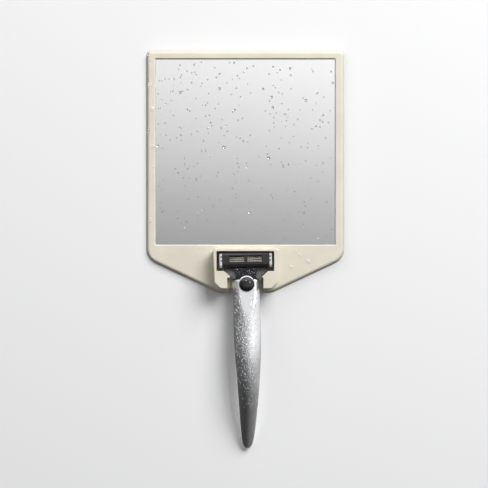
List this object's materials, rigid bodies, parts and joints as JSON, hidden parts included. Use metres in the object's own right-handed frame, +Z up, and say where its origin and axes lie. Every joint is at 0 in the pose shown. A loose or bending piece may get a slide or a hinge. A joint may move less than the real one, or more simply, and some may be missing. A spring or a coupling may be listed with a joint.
{
  "type": "shower mirror",
  "caption": "Flat fogless shower mirror in a thin moulded frame, with a bracket on its chin that holds a safety razor with a sprung pivoting head.",
  "frame": {"origin": "on the wall, at the grip pad's back face, behind the middle of the mirror's window", "axes": "+Y into the wall, so the front faces -Y; +Z up; +X to the right as one looks at the mirror"},
  "size_m": [0.148, 0.0271, 0.2968],
  "materials": {
    "cream": "satin moulded, warm cream",
    "back_cream": "matt moulded, warm cream",
    "silvered": "silvered",
    "clear_film": "clear water-spreading coat",
    "grey_rubber": "soft matt",
    "white_foam": "foam tape",
    "steel": "bright",
    "satin_silver": "satin silver",
    "blue_grey": "dark blue-grey moulded",
    "black_plastic": "black moulded",
    "black_rubber": "black, finned",
    "grey_strip": "grey lubricating polymer"
  },
  "bodies": {
    "mirror_unit": {"wall_grip_pad": "grey_rubber", "back_plate": "back_cream", "mirror_tape_1": "white_foam", "mirror_tape_2": "white_foam", "mirror_tape_3": "white_foam", "mirror_tape_4": "white_foam", "mirror_plate": "silvered", "anti_fog_film": "clear_film", "window_gasket": "grey_rubber", "front_frame": "cream", "frame_screw_top_left": "steel", "frame_screw_top_right": "steel", "frame_screw_shoulder_left": "steel", "frame_screw_shoulder_right": "steel", "frame_screw_foot_left": "steel", "frame_screw_foot_right": "steel", "razor_cradle": "cream", "cradle_screw_left": "steel", "cradle_screw_right": "steel"},
    "razor": {"handle_body": "satin_silver", "connector_core": "black_plastic", "cartridge_yoke": "blue_grey", "plunger_spring": "steel", "button_spring": "steel"},
    "cartridge": {"cartridge_housing": "black_plastic", "lubricating_strip": "grey_strip", "guard_strip": "black_rubber", "blade_1": "steel", "blade_2": "steel", "blade_3": "steel", "blade_clip_left": "steel", "blade_clip_right": "steel"},
    "plunger": {"return_plunger": "steel"},
    "release": {"release_button": "black_plastic", "button_rim": "satin_silver", "ejector_slider": "black_plastic"}
  },
  "joints": [
    {"name": "razor_lift_out", "type": "slide", "parent": "mirror_unit", "child": "razor", "axis": [0, -0.9976, 0.0698], "range_m": [0, 0.06]},
    {"name": "cartridge_pivot", "type": "hinge", "parent": "razor", "child": "cartridge", "pos_m": [0.0004, -0.015, -0.0842], "axis": [-0.9998, 0, -0.0192], "range_deg": [0, 26]},
    {"name": "plunger_travel", "type": "slide", "parent": "razor", "child": "plunger", "axis": [0.0192, 0, -0.9998], "range_m": [0, 0.0012], "stiffness_N_per_m": 1500, "springref_m": -0.0006, "deforming": ["plunger_spring"]},
    {"name": "button_push", "type": "slide", "parent": "razor", "child": "release", "axis": [-0.0188, 0.2079, 0.978], "range_m": [0, 0.0025], "stiffness_N_per_m": 300, "springref_m": -0.001, "deforming": ["button_spring"]}
  ],
  "couplings": [
    {"joint": "cartridge_pivot", "follows": "plunger_travel", "rad_per_m": 363.6}
  ]
}
